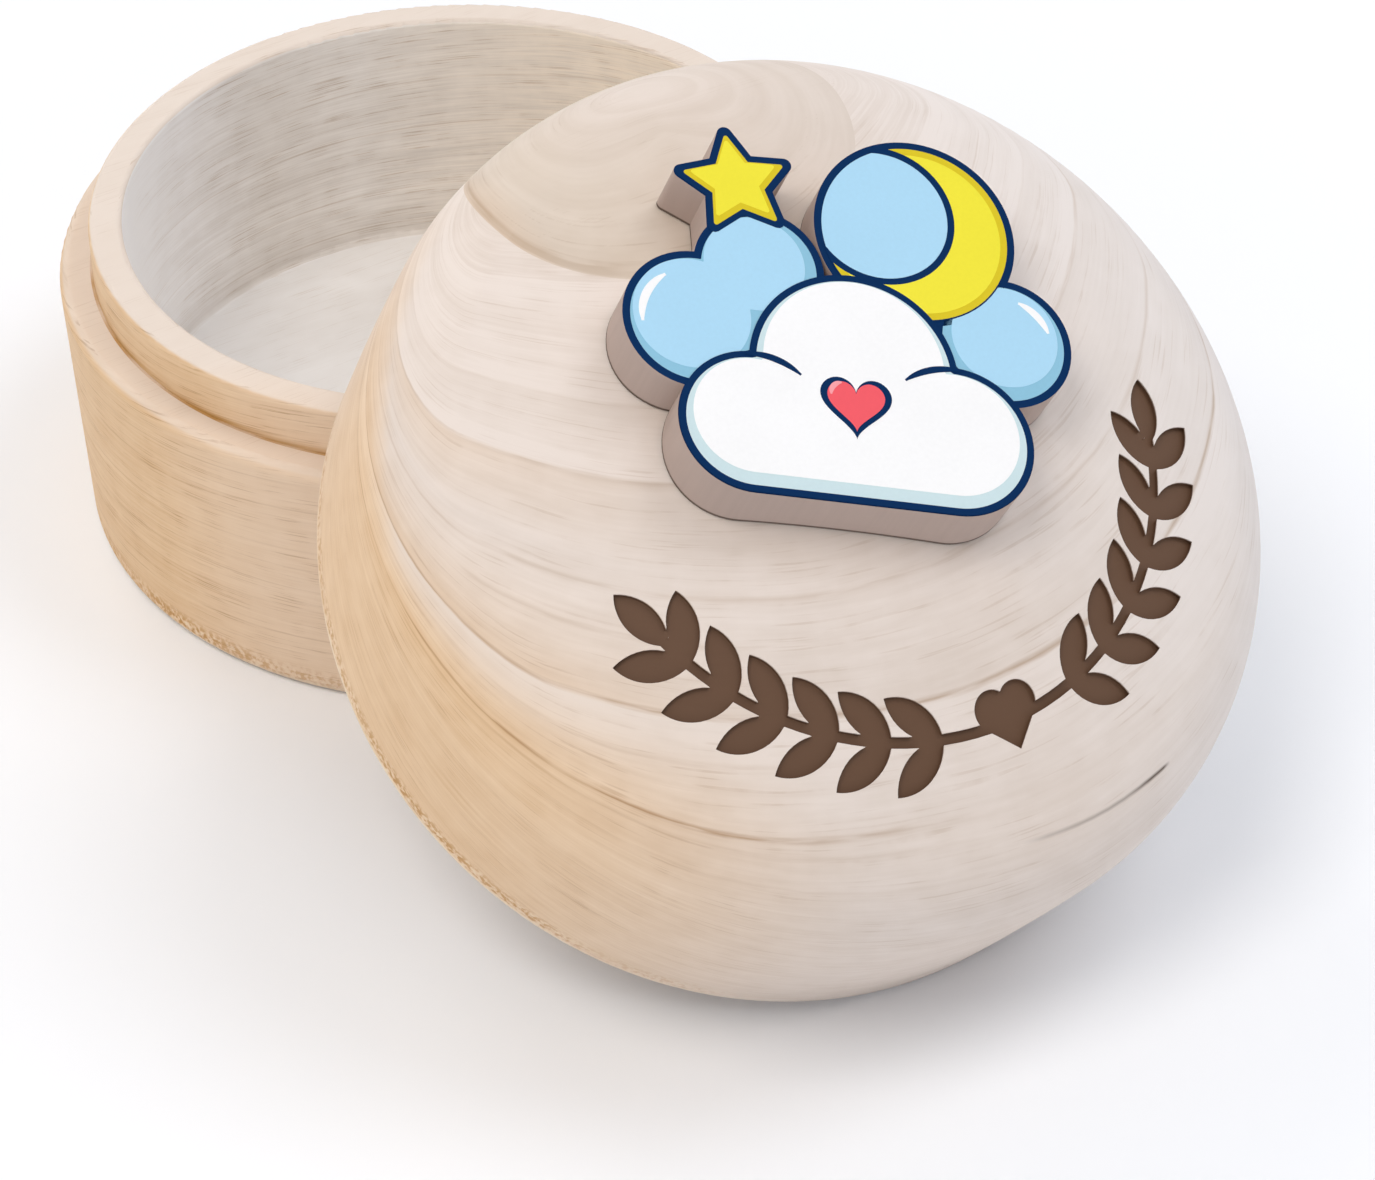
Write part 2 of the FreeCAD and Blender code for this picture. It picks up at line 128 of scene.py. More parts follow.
lidWood = {
    "pale": "#e7dbd2", "late": "#d4c5b8", "warmPale": "#eecfaa", "warmLate": "#d6ad7c", "dash": "#c4ac90",
    "fanMm": 40.0, "fanHeightMm": 9.9, "waveMm": 24.0, "waveDepth": 0.3,
    "lowLayer": 0.0, "highLayer": 28.0,
    "rings": [(0.0, 0.35), (3.4, 0.4), (3.5, 0.25), (6.2, 0.35), (7.6, 0.45), (7.8, 0.3), (8.8, 0.2),
              (9.4, 0.05), (10.1, 0.0), (10.2, 0.5), (11.2, 0.35), (12.4, 0.25), (15.8, 0.5), (15.95, 0.0),
              (16.3, 0.0), (16.6, 0.2), (18.1, 0.4), (18.25, 0.1), (20.3, 0.1), (20.45, 0.35), (21.9, 0.05),
              (22.9, 0.0), (23.0, 0.95), (24.1, 0.65), (24.3, 0.9), (25.1, 0.6), (25.3, 0.85), (26.1, 0.55),
              (26.3, 0.8), (27.1, 0.4), (27.3, 0.65), (28.0, 0.4)],
    "lines": [(3.45, 0.06, 0.4), (5.3, 0.05, 0.3), (10.2, 0.08, 1.0), (12.9, 0.06, 0.3), (15.85, 0.06, 0.4),
              (18.2, 0.06, 0.35), (23.0, 0.07, 0.4)],
    "fadingLines": [(6.2, 0.05, 0.5), (7.2, 0.05, 0.4), (7.65, 0.08, 0.9), (7.95, 0.04, 0.5),
                    (8.6, 0.05, 0.4), (9.1, 0.04, 0.4), (11.0, 0.05, 0.35), (11.8, 0.05, 0.3),
                    (23.15, 0.14, 0.8)],
    "fadeMm": (-18.0, -2.0),
    "bandMm": 0.45, "bandLengthMm": 14.0, "bandDepth": 0.115,
    "fibreMm": 0.14, "fibreLengthMm": 4.5, "fibreDepth": 0.12,
    "mottleMm": 2.6, "mottleDepth": 0.12,
    "dashMm": 0.075, "dashLengthMm": 7.0, "dashFrom": 0.61, "dashDepth": 0.2, "warmDashDepth": 0.4,
    "warmFacing": (0.8, 1.0), "warmSideAndBounceMm": (40.0, 41.0),
    "warmLayers": [(0.0, 1.0), (7.7, 1.0), (8.6, 0.8), (9.4, 0.45), (10.1, 0.2), (10.2, 0.6), (11.2, 0.35),
                   (12.3, 0.15), (13.5, 0.0), (15.8, 0.35), (15.95, 0.0), (28.0, 0.0)],
    # painted light: the lid's right is painted paler and cooler, for cool light from that side, and its warm
    # tone is kept at its left
    "paintedLightToward": (1.0, 0.0), "paintedLightMm": (-32.0, -11.0), "warmLeast": 0.0,
    "paintedLightTone": "#f2f0f0", "paintedLightToneMm": (2.0, 24.0), "paintedLightToneDepth": 0.35,
    "frayMm": (0.85, 1.5, 2.5),
}


def layerStops(wood, places):  # (layer, value) as a ramp's stops over the wood's layers
    span = wood["highLayer"] - wood["lowLayer"]
    return [((layer - wood["lowLayer"]) / span, (value, value, value, 1)) for layer, value in places]


def woodPlace(add, place):
    # a point in the piece's own frame in mm, where its face looks, and its way out from the axis
    here = SimpleNamespace(dashShare=1.0)
    turn = place.to_euler()
    here.local = add("Mapping", vector_type="TEXTURE", inputs={
        "Vector": add("TexCoord", output="Object"),
        "Location": place.translation, "Rotation": turn, "Scale": (mm, mm, mm)})
    here.facing = add("Mapping", vector_type="TEXTURE", inputs={
        "Vector": add("TexCoord", output="Normal"), "Rotation": turn})
    here.x, here.y, here.z = add("SeparateXYZ", here.local).node.outputs
    here.flat = add("CombineXYZ", here.x, here.y)
    here.spread = add("VectorMath", here.flat, operation="LENGTH", output="Value")
    away = add("VectorMath", here.flat, operation="NORMALIZE")
    here.outward = add("VectorMath", here.facing, away, operation="DOT_PRODUCT", output="Value")
    return here


def growthLayers(add, wood, here):
    # the fan of layers, a little wavy
    reach = add("Math", here.y, -1 / wood["fanMm"], 1.0, operation="MULTIPLY_ADD")
    height = add("Math", here.z, wood["fanHeightMm"], operation="SUBTRACT")
    layer = add("Math", height, reach, operation="DIVIDE")
    here.wave = add("TexNoise", inputs={"Vector": here.local, "Scale": 1 / wood["waveMm"], "Detail": 2.0})
    wave = add("MapRange", here.wave, 0.0, 1.0, -wood["waveDepth"], wood["waveDepth"])
    here.layer = add("Math", layer, wave, operation="ADD")
    here.ringLayer = here.layer


heartwood = {
    "centreMm": (-1.65, 24.0, 22.0), "halfMm": (13.15, 10.95, 14.0), "backShare": (0.13, 0.62, -0.21),
    "layer": 23.0, "depthMm": 6.0, "gapMm": 0.1, "wobble": 0.05,
    "tint": "#fbfaf5", "leftTint": "#fbf4e9", "leftMm": (-14.3, -12.3),
    "brownShares": (0.2, 0.7), "rightMm": (-9.0, 5.0), "rightLeast": 0.2,
}


def heartRings(add, here):
    # towards the back of the lid the layers close round the heart of the branch
    apart = add("VectorMath", here.local, heartwood["centreMm"], operation="SUBTRACT")
    apart = add("VectorMath", apart, heartwood["halfMm"], operation="DIVIDE")
    away = add("VectorMath", apart, operation="LENGTH", output="Value")
    # the inner rings lie further back than the outer ones
    inner = add("MapRange", away, 0.0, 1.0, 1.0, 0.0)
    further = add("VectorMath", heartwood["backShare"], operation="SCALE", inputs={"Scale": inner})
    apart = add("VectorMath", apart, further, operation="SUBTRACT")
    away = add("VectorMath", apart, operation="LENGTH", output="Value")
    wobble = add("MapRange", here.wave, 0.0, 1.0, -heartwood["wobble"], heartwood["wobble"])
    here.fromHeart = add("Math", away, wobble, operation="ADD")
    here.inHeart = add("Math", here.fromHeart, 1.0, operation="LESS_THAN")
    deepest = heartwood["layer"] + heartwood["depthMm"]
    rounded = add("MapRange", here.fromHeart, 1.0, 0.0, heartwood["layer"], deepest)
    outer = add("Math", here.layer, heartwood["layer"] - heartwood["gapMm"], operation="MINIMUM")
    here.ringLayer = add("Mix", inputs={0: here.inHeart, 2: outer, 3: rounded})
    here.layer = add("Mix", inputs={0: here.inHeart, 2: here.layer, 3: rounded})


def grain(add, here, sizes, detail=2.0):  # noise with its own size across the layers, along x and along y
    stretched = add("VectorMath", here.inLayers, [1 / size for size in sizes], operation="MULTIPLY")
    return add("TexNoise", inputs={"Vector": stretched, "Scale": 1.0, "Detail": detail})


def woodTones(add, wood, here):
    # how squarely a face cuts the layers: 0 where it runs along them
    slope = add("Math", here.layer, wood["fanMm"], operation="DIVIDE")
    tilt = add("VectorMath", add("CombineXYZ", 0.0, slope, 1.0), operation="NORMALIZE")
    along = add("VectorMath", here.facing, tilt, operation="DOT_PRODUCT", output="Value")
    here.cut = add("MapRange", add("Math", along, operation="ABSOLUTE"), *woodFinish["cutFacing"])
    here.calm = add("MapRange", here.cut, 0.0, 1.0, woodFinish["calmLeast"], 1.0)

    # year rings in the order in which they meet the surface, then finer bands, fibres and soft patches
    here.share = add("MapRange", here.ringLayer, wood["lowLayer"], wood["highLayer"])
    here.inLayers = add("CombineXYZ", here.layer, here.x, here.y)
    here.fibre = grain(add, here, (wood["fibreMm"], wood["fibreLengthMm"], wood["fibreLengthMm"]))
    here.band = grain(add, here, (wood["bandMm"], wood["bandLengthMm"], wood["bandLengthMm"]))
    here.mottle = add("TexNoise", inputs={
        "Vector": here.local, "Scale": 1 / wood["mottleMm"], "Detail": 3.0})
    late = add("ValToRGB", here.share, stops=layerStops(wood, wood["rings"]))
    for key in ("band", "fibre", "mottle"):
        depth = wood[key + "Depth"]
        darker = add("MapRange", getattr(here, key), *woodFinish["noiseMostly"], -depth, depth)
        darker = add("Math", here.calm, darker, operation="MULTIPLY")
        late = add("Math", late, darker, operation="ADD")
    here.late = add("Clamp", late)

    # turned sides are cut across the fibre and take a warmer tone, which stops at the lines of growth
    warmth = add("ValToRGB", here.share, stops=layerStops(wood, wood["warmLayers"]))
    # on the cup's ledge the warm tone spread outwards is painted warm light, bounced from the tongue's wall
    for value, key in ((here.outward, "warmFacing"), (here.spread, "warmSideAndBounceMm")):
        turned = add("MapRange", value, *wood[key], interpolation_type="SMOOTHSTEP")
        warmth = add("Math", warmth, turned, operation="MAXIMUM")
    # painted light: towards one side the warm tone is painted out and the wood painted paler, on the lid for
    # cool light from its right, which leaves its warm left partly painted warm light, and on the cup for
    # light bounced from the lid in front of it
    paintedLightSide = (*wood["paintedLightToward"], 0)
    towardPaintedLight = add("VectorMath", here.flat, paintedLightSide, operation="DOT_PRODUCT", output="Value")
    paintedWarmShare = add("MapRange", towardPaintedLight, *wood["paintedLightMm"], 1.0, wood["warmLeast"], interpolation_type="SMOOTHSTEP")
    here.warmth = add("Math", warmth, paintedWarmShare, operation="MULTIPLY")
    tones = {key: linearColor(wood[key]) for key in ("pale", "late", "warmPale", "warmLate")}
    plain = add("Mix", inputs={0: here.late, 6: tones["pale"], 7: tones["late"]}, **colorMix)
    warm = add("Mix", inputs={0: here.late, 6: tones["warmPale"], 7: tones["warmLate"]}, **colorMix)
    color = add("Mix", inputs={0: here.warmth, 6: plain, 7: warm}, **colorMix)
    # painted light: the wood is painted paler towards that side
    paintedLightShare = add("MapRange", towardPaintedLight, *wood["paintedLightToneMm"], 0.0, wood["paintedLightToneDepth"])
    return add("Mix", inputs={0: paintedLightShare, 6: color, 7: linearColor(wood["paintedLightTone"])}, **colorMix)


bowlInside = {
    # the wall's tones are painted light: white at the left, lit from the right, and warm at the right, lit
    # from the left
    "wall": [(-24.0, "#ffffff"), (-12.0, "#f6f4f3"), (-4.0, "#ebe6e0"), (5.0, "#f2ede7"), (24.0, "#f9e9d4")],
    "floor": "#ebe8e5", "late": "#cac1b8", "reachMm": 24.32, "softMm": 0.05, "wallFacing": (-0.3, -0.6),
    # painted shade at the back of the wall and at its foot
    "lateLess": 0.2, "backShadeMm": (0.0, 22.0), "backShadeDepth": 0.15, "footShadeMm": (7.5, 4.6), "footShadeDepth": 0.45,
    "awayFromLeftMm": (-20.0, -7.0), "dashes": (0.1, 1.3),
}


def litAndShadedBowl(add, here, color):
    # the bowl is cut deep and its wood is greyer; its wall is painted with light and shade: painted light
    # whitest at the left and warm at the right, and painted shade darkest at the back
    left = bowlInside["wall"][0][0]
    right = bowlInside["wall"][-1][0]
    wall = add("ValToRGB", add("MapRange", here.x, left, right), stops=[
        ((place - left) / (right - left), linearColor(code)) for place, code in bowlInside["wall"]])
    onWall = add("MapRange", here.outward, *bowlInside["wallFacing"])
    bowl = add("Mix", inputs={0: onWall, 6: linearColor(bowlInside["floor"]), 7: wall}, **colorMix)
    # towards the left the grain and the painted shade fade out, and painted shade darkens the foot of the
    # wall, where it meets the floor
    awayFromLeft = add("MapRange", here.x, *bowlInside["awayFromLeftMm"])
    darker = add("Math", here.late, bowlInside["lateLess"], operation="SUBTRACT")
    # painted shade, darkest at the back of the bowl
    backShade = add("MapRange", here.y, *bowlInside["backShadeMm"], 0.0, bowlInside["backShadeDepth"])
    darker = add("Math", darker, backShade, operation="ADD")
    darker = add("Math", darker, 0.0, operation="MAXIMUM")
    darker = add("Math", awayFromLeft, darker, operation="MULTIPLY")
    # painted shade where the wall meets the bowl's floor
    foot = add("MapRange", here.z, *bowlInside["footShadeMm"], 0.0, bowlInside["footShadeDepth"])
    foot = add("Math", onWall, foot, operation="MULTIPLY")
    darker = add("Math", foot, darker, operation="ADD")
    bowl = add("Mix", inputs={0: darker, 6: bowl, 7: linearColor(bowlInside["late"])}, **colorMix)
    reach = bowlInside["reachMm"]
    inBowl = add("MapRange", here.spread, reach + bowlInside["softMm"], reach)
    dashes = add("MapRange", awayFromLeft, 0.0, 1.0, *bowlInside["dashes"])
    here.dashShare = add("Mix", inputs={0: inBowl, 2: 1.0, 3: dashes})
    return add("Mix", inputs={0: inBowl, 6: color, 7: bowl}, **colorMix)


goldenFoot = {
    "color": "#b98a42", "lowMm": 20.7, "highMm": 21.4, "seamMm": 0.02, "reachMm": 26.7, "halfMm": 0.3,
    "bands": (0.35, 0.6), "depths": (0.35, 0.9),
}


def goldenFootBand(add, here, color):
    # a thin golden-brown band runs along the tongue's foot, where its wall meets the ledge
    low = goldenFoot["lowMm"]
    goldenBand = add("MapRange", here.z, goldenFoot["highMm"], low, interpolation_type="SMOOTHSTEP")
    beside = add("Math", here.spread, goldenFoot["reachMm"], goldenFoot["halfMm"], operation="COMPARE")
    above = add("Math", here.z, low - goldenFoot["seamMm"], operation="GREATER_THAN")
    inBands = add("MapRange", here.band, *goldenFoot["bands"], *goldenFoot["depths"])
    for share in (beside, above, inBands):
        goldenBand = add("Math", goldenBand, share, operation="MULTIPLY")
    return add("Mix", inputs={0: goldenBand, 6: color, 7: linearColor(goldenFoot["color"])}, **colorMix)


def cutFibres(add, wood, here, color):
    # cut fibre ends, seen as short dark dashes in rows
    length = wood["dashLengthMm"]
    standing = grain(add, here, (wood["dashMm"], length, length), 1.0)
    lying = grain(add, here, (length, length, wood["dashMm"] * woodFinish["lyingShare"]), 1.0)
    dashes = add("Mix", inputs={0: here.cut, 2: lying, 3: standing})
    dashes = add("MapRange", dashes, wood["dashFrom"], wood["dashFrom"] + woodFinish["dashSoft"])
    strength = add("MapRange", here.warmth, 0.0, 1.0, wood["dashDepth"], wood["warmDashDepth"])
    patches = add("MapRange", here.mottle, *woodFinish["dashPatches"], woodFinish["dashLeast"], 1.0)
    for share in (strength, here.calm, patches):
        dashes = add("Math", dashes, share, operation="MULTIPLY")

    # thin dark lines that come and go, some of which fade towards the right
    broken = add("MapRange", here.fibre, *woodFinish["lineBreaks"], woodFinish["lineLeast"], 1.0)
    fading = add("MapRange", here.x, *wood["fadeMm"], 1.0, 0.0)
    for key, fade in (("lines", 1.0), ("fadingLines", fading)):
        places = []
        for layer, half, depth in wood[key]:
            places += [(layer - half, 0.0), (layer, depth), (layer + half, 0.0)]
        lines = add("ValToRGB", here.share, stops=layerStops(wood, places))
        for share in (fade, broken, here.cut):
            lines = add("Math", lines, share, operation="MULTIPLY")
        dashes = add("Math", dashes, lines, operation="MAXIMUM")
    dashes = add("Math", dashes, here.dashShare, operation="MULTIPLY")
    relief = add("Math", here.fibre, dashes, operation="SUBTRACT")
    here.bump = add("Bump", inputs={
        "Strength": woodFinish["bumpStrength"], "Distance": woodFinish["bumpMm"] * mm, "Height": relief})
    dark = linearColor(wood["dash"])
    return add("Mix", inputs={0: dashes, 6: color, 7: dark}, blend_type="MULTIPLY", **colorMix)


frayed = {
    "pits": "#bb863f", "pitNoise": (0.48, 0.58), "pitDepth": 0.85,
    "nibsAndHighlight": "#f3e2cb", "nibNoise": (0.45, 0.35), "nibDepth": 0.6,
    "spotMm": 0.4, "runMm": 7.0, "runNoise": (0.35, 0.55), "runLeast": 0.3, "softMm": 0.3,
    # a painted highlight along the rim's rounded edge, in the nibs' pale colour
    "rimHighlightMm": (0.85, 0.6), "rimHighlightDepth": 0.75,
}


def frayedEdge(add, wood, here, color):
    # the lower edge is frayed where the fibres tore out: ochre pits with pale nibs between, in runs
    low, middle, high = wood["frayMm"]
    runs = add("TexNoise", inputs={"Vector": here.local, "Scale": 1 / frayed["runMm"], "Detail": 2.0})
    runs = add("MapRange", runs, *frayed["runNoise"], frayed["runLeast"], 1.0)
    runs = add("Math", runs, here.warmth, operation="MULTIPLY")
    edge = runs
    for limits in ((low - frayed["softMm"], low), (high, middle)):
        edge = add("Math", edge, add("MapRange", here.z, *limits), operation="MULTIPLY")
    spots = add("TexNoise", inputs={"Vector": here.local, "Scale": 1 / frayed["spotMm"], "Detail": 2.0})
    for key, noise, depth in (("pits", "pitNoise", "pitDepth"), ("nibsAndHighlight", "nibNoise", "nibDepth")):
        torn = add("MapRange", spots, *frayed[noise], 0.0, frayed[depth])
        torn = add("Math", edge, torn, operation="MULTIPLY")
        color = add("Mix", inputs={0: torn, 6: color, 7: linearColor(frayed[key])}, **colorMix)
    # below them a pale line along the rim is a painted highlight, where its rounded edge catches the light
    rim = add("MapRange", here.z, *frayed["rimHighlightMm"], 0.0, frayed["rimHighlightDepth"])
    rim = add("Math", runs, rim, operation="MULTIPLY")
    return add("Mix", inputs={0: rim, 6: color, 7: linearColor(frayed["nibsAndHighlight"])}, **colorMix)


def brownHeart(add, here, color):
    # the heart is a little browner, most at its left end
    fromLeft = add("MapRange", here.x, *heartwood["leftMm"])
    tint = add("Mix", inputs={
        0: fromLeft, 6: linearColor(heartwood["leftTint"]), 7: linearColor(heartwood["tint"])}, **colorMix)
    browner = here.inHeart
    for share in (add("MapRange", here.fromHeart, *heartwood["brownShares"]),
                  add("MapRange", here.x, *heartwood["rightMm"], 1.0, heartwood["rightLeast"])):
        browner = add("Math", browner, share, operation="MULTIPLY")
    return add("Mix", inputs={0: browner, 6: color, 7: tint}, blend_type="MULTIPLY", **colorMix)


dryCheck = {
    "color": "#4d3b30", "layer": 6.74, "slope": -0.025, "widthMm": 0.085, "fromMm": -2.0, "toMm": 10.4,
    "opening": [(0.0, 0.0), (0.15, 0.3), (0.7, 0.55), (0.85, 1.0), (0.95, 1.0), (1.0, 0.0)],
}


def driedCheck(add, here, color):
    # a short check where the wood has dried and opened along one line of growth, at the lid's front
    off = add("Math", here.x, -dryCheck["slope"], here.layer, operation="MULTIPLY_ADD")
    off = add("Math", off, dryCheck["layer"], operation="SUBTRACT")
    off = add("Math", off, operation="ABSOLUTE")
    opened = add("MapRange", off, dryCheck["widthMm"], 0.0)
    ends = add("ValToRGB", add("MapRange", here.x, dryCheck["fromMm"], dryCheck["toMm"]), stops=[
        (place, (value, value, value, 1)) for place, value in dryCheck["opening"]])
    inFront = add("Math", here.y, 0.0, operation="LESS_THAN")
    for share in (ends, inFront):
        opened = add("Math", opened, share, operation="MULTIPLY")
    return add("Mix", inputs={0: opened, 6: color, 7: linearColor(dryCheck["color"])}, **colorMix)


burntLine = {"color": "#614633", "depthMm": (0.05, 0.15), "reachMm": 24.9, "lowMm": 15.0}


def burntGarland(add, here, color):
    # the garland lies under the crown's sphere, where the iron has browned it
    crownCentre = (0, 0, crownCentreMm)
    fromCentre = add("VectorMath", here.local, crownCentre, operation="DISTANCE", output="Value")
    burnt = add("Math", lidShape["crownRadiusMm"], fromCentre, operation="SUBTRACT")
    burnt = add("MapRange", burnt, *burntLine["depthMm"])
    for share in (add("Math", here.spread, burntLine["reachMm"], operation="LESS_THAN"),
                  add("Math", here.z, burntLine["lowMm"], operation="GREATER_THAN")):
        burnt = add("Math", burnt, share, operation="MULTIPLY")
    return add("Mix", inputs={0: burnt, 6: color, 7: linearColor(burntLine["color"])}, **colorMix)


def turnedWood(name, wood, place):
    material, tree, shader = newMaterial(name, woodFinish["shader"])
    add = partial(addNode, tree)
    here = woodPlace(add, place)
    growthLayers(add, wood, here)
    if wood is lidWood:
        heartRings(add, here)
    color = woodTones(add, wood, here)
    if wood is cupWood:
        color = litAndShadedBowl(add, here, color)
        color = goldenFootBand(add, here, color)
    color = cutFibres(add, wood, here, color)
    color = frayedEdge(add, wood, here, color)
    if wood is lidWood:
        color = brownHeart(add, here, color)
        color = driedCheck(add, here, color)
        color = burntGarland(add, here, color)
    tree.links.new(color, shader.inputs["Base Color"])
    tree.links.new(here.bump, shader.inputs["Normal"])
    return material


for nodeName, material in (("cup", turnedWood("cupBareTurnedHardwood", cupWood, Matrix())),
                           ("lid", turnedWood("lidBareTurnedHardwood", lidWood, lidFrame))):
    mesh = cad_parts[nodeName].data
    mesh.materials.clear()
    mesh.materials.append(material)
print("cup and lid turned")


# the plaque: a plate cut by laser, with ink printed on its face.
# The print is a moon, a star and a heart among clouds, in films of ink as thick as they need to catch light.
plaqueShape = {
    "widthMm": 29.0, "offsetMm": 5.7, "turnDegrees": -29.0,
    "starTurnDegrees": 12.0, "starWaistShare": 0.5, "starRoundMm": 0.5, "starLeastRoundMm": 0.15,
}
puffShares = {  # across, along and radius, as shares of the width
    "cloudLeft": (-0.214, -0.248, 0.166), "cloudMiddle": (0.007, -0.103, 0.234),
    "cloudRight": (0.228, -0.238, 0.176), "puffLeft": (-0.338, -0.021, 0.162),
    "puffUpper": (-0.200, 0.117, 0.145), "puffRight": (0.345, 0.012, 0.155),
    "moon": (0.152, 0.255, 0.228), "star": (-0.248, 0.321, 0.162),
}
puffs = {name: Vector(shares) * plaqueShape["widthMm"] for name, shares in puffShares.items()}


def seatedPlaque():
    lean = math.asin(plaqueShape["offsetMm"] / lidShape["crownRadiusMm"])
    toCrown = Matrix.Translation((0, 0, crownCentreMm * mm)) @ Matrix.Rotation(-lean, 4, "X")
    turn = Matrix.Rotation(math.radians(plaqueShape["turnDegrees"]), 4, "Z")
    seat = lidFrame @ toCrown @ Matrix.Translation((0, 0, lidShape["crownRadiusMm"] * mm)) @ turn
    points = [seat.inverted() @ v.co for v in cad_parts["plaque"].data.vertices]
    return seat, max(p.z for p in points) / mm


plaqueFrame, faceMm = seatedPlaque()


def roundedOutline(names, centre, inset, shift=(0, 0), flatBottom=None, steps=240):
    # the far side of a group of discs, seen from a point inside it
    outline = []
    centre = Vector(centre) + Vector(shift)
    for step in range(steps):
        angle = 2 * math.pi * step / steps
        ray = Vector((math.cos(angle), math.sin(angle)))
        far = 0.0
        for name in names:
            across = Vector(puffs[name][:2]) + Vector(shift) - centre
            radius = puffs[name][2] - inset
            middle = across.dot(ray)
            half = radius ** 2 - (across.length_squared - middle ** 2)
            if half > 0:
                far = max(far, middle + math.sqrt(half))
        if flatBottom is not None and ray.y < 0:
            down = (flatBottom + inset + shift[1] - centre.y) / ray.y
            sideways = centre.x + ray.x * down
            if puffs[names[0]].x + shift[0] <= sideways <= puffs[names[-1]].x + shift[0]:
                far = down
        outline.append(centre + ray * far)
    return outline


def starOutline(inset, shift=(0, 0)):
    tip = puffs["star"][2]
    waist = tip * plaqueShape["starWaistShare"]
    step = math.pi / 5
    flank = math.sqrt(tip ** 2 + waist ** 2 - 2 * tip * waist * math.cos(step))
    scale = 1 - inset * flank / (tip * waist * math.sin(step))
    turn = math.radians(90 + plaqueShape["starTurnDegrees"])
    centre = Vector(puffs["star"][:2]) + Vector(shift)
    corners = []
    for i in range(10):
        ray = Vector((math.cos(turn + step * i), math.sin(turn + step * i)))
        corners.append(centre + ray * scale * (waist if i % 2 else tip))
    outline = []
    for i, corner in enumerate(corners):
        if i % 2:
            outline.append(corner)
            continue
        # a tip is rounded between its two flanks
        before = (corners[i - 1] - corner).normalized()
        after = (corners[(i + 1) % 10] - corner).normalized()
        half = before.angle(after) / 2
        radius = max(plaqueShape["starRoundMm"] - inset, plaqueShape["starLeastRoundMm"])
        middle = corner + (before + after).normalized() * radius / math.sin(half)
        sweep = math.pi / 2 - half
        away = (corner - middle).normalized()
        for part in (-1.0, -0.5, 0.0, 0.5, 1.0):
            angle = sweep * part
            outline.append(middle + radius * Vector((
                away.x * math.cos(angle) - away.y * math.sin(angle),
                away.x * math.sin(angle) + away.y * math.cos(angle))))
    return outline


def crescentOutline(centre, outer, inner, offset, steps=60):
    # an outer circle less an inner one that is moved aside
    aside = Vector(offset)
    gap = aside.length
    bite = (outer ** 2 - inner ** 2 + gap ** 2) / (2 * gap)
    outerHalf = math.acos(bite / outer)
    innerHalf = math.pi - math.acos((gap - bite) / inner)
    aim = math.atan2(aside.y, aside.x)
    points = []
    for step in range(steps + 1):
        angle = aim + outerHalf + (2 * math.pi - 2 * outerHalf) * step / steps
        points.append(Vector(centre) + Vector((math.cos(angle), math.sin(angle))) * outer)
    for step in range(1, steps):
        angle = aim - innerHalf - (2 * math.pi - 2 * innerHalf) * step / steps
        points.append(Vector(centre) + aside + Vector((math.cos(angle), math.sin(angle))) * inner)
    return points


def heartOutline(centre, width, steps=80):
    # the usual heart curve, which is 32 units wide
    points = []
    for step in range(steps):
        t = 2 * math.pi * step / steps
        high = 13 * math.cos(t) - 5 * math.cos(2 * t) - 2 * math.cos(3 * t) - math.cos(4 * t)
        points.append(Vector(centre) + Vector((-16 * math.sin(t) ** 3, high)) * width / 32)
    return points


def arcOutline(centre, radius, width, start, end, steps=40, blunt=0.04):
    # a drawn arc, thick in the middle and thin at its blunt ends
    edges = ([], [])
    for step in range(steps + 1):
        share = step / steps
        angle = math.radians(start + (end - start) * share)
        half = width / 2 * math.sin(math.pi * min(max(share, blunt), 1 - blunt)) ** 0.5
        ray = Vector((math.cos(angle), math.sin(angle)))
        edges[0].append(Vector(centre) + ray * (radius + half))
        edges[1].append(Vector(centre) + ray * (radius - half))
    return edges[0] + edges[1][::-1]


# cured ink: even colour, a faint speckle from the drops and a low sheen
inkColors = {
    "navy": "#042c58", "light": "#aedaf3", "mid": "#8fc3db", "white": "#fafafa", "shade": "#cde2e6",
    "yellow": "#f2e640", "gold": "#dcc62a", "red": "#f4606a", "pink": "#f9a3a9",
}
inkFinish = {
    "shader": {"Roughness": 0.6, "Specular IOR Level": 0.05},
    "dropMm": 0.25,  # coarser than real drops, so that they show
    "cloudMm": 5.0, "noise": (0.7, 1.3), "tones": (0.97, 1.0),
    "bumpStrength": 0.1, "bumpMm": 0.02,
}


def printedInk(name, code):
    material, tree, shader = newMaterial(name, inkFinish["shader"])
    add = partial(addNode, tree)
    local = add("TexCoord", output="Object")
    speckle = add("TexNoise", inputs={
        "Vector": local, "Scale": 1 / (inkFinish["dropMm"] * mm), "Detail": 1.0})
    cloudy = add("TexNoise", inputs={
        "Vector": local, "Scale": 1 / (inkFinish["cloudMm"] * mm), "Detail": 2.0})
    both = add("Math", speckle, cloudy, operation="ADD")
    tone = add("MapRange", both, *inkFinish["noise"], *inkFinish["tones"])
    color = add("VectorMath", linearColor(code)[:3], operation="SCALE", inputs={"Scale": tone})
    tree.links.new(color, shader.inputs["Base Color"])
    bump = add("Bump", inputs={
        "Strength": inkFinish["bumpStrength"], "Distance": inkFinish["bumpMm"] * mm, "Height": speckle})
    tree.links.new(bump, shader.inputs["Normal"])
    return material


inks = {name: printedInk(name + "CuredInk", code) for name, code in inkColors.items()}
filmMm = 0.012  # a printed film, one pass thick
lineMm = 0.5  # the dark line left round each field
